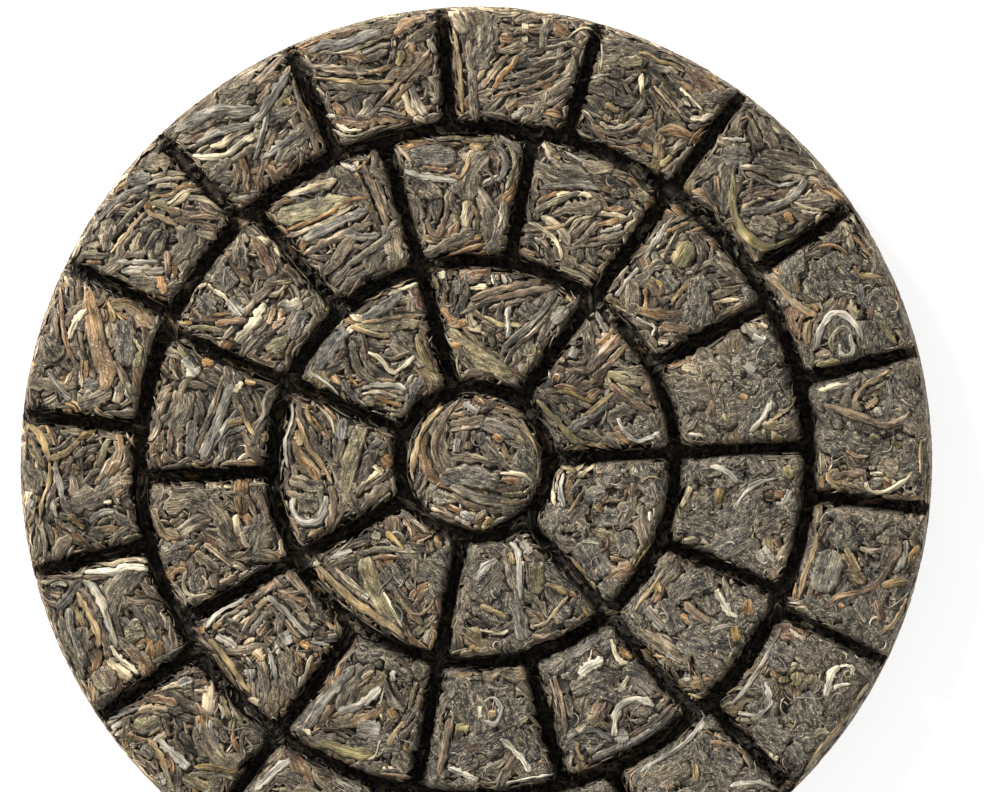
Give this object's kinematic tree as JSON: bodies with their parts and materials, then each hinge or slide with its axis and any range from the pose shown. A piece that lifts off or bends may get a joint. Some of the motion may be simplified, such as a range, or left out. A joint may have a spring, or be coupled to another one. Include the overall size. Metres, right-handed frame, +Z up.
{
  "type": "pu erh tea cake",
  "caption": "Round pressed cake of dark fermented tea leaf, scored by ring grooves and straight grooves into portions that snap off.",
  "frame": {"origin": "middle of the flat underside", "axes": "+Z up, square to the scored face, which is up; +Y towards the top of the picture and +X towards its right"},
  "size_m": [0.1993, 0.1995, 0.0185],
  "materials": {
    "pressed_leaf": "matt dry pressed leaf, dark grey-brown with pale, reddish and olive strands"
  },
  "bodies": {
    "root": {"tea_cake": "pressed_leaf"}
  },
  "joints": []
}
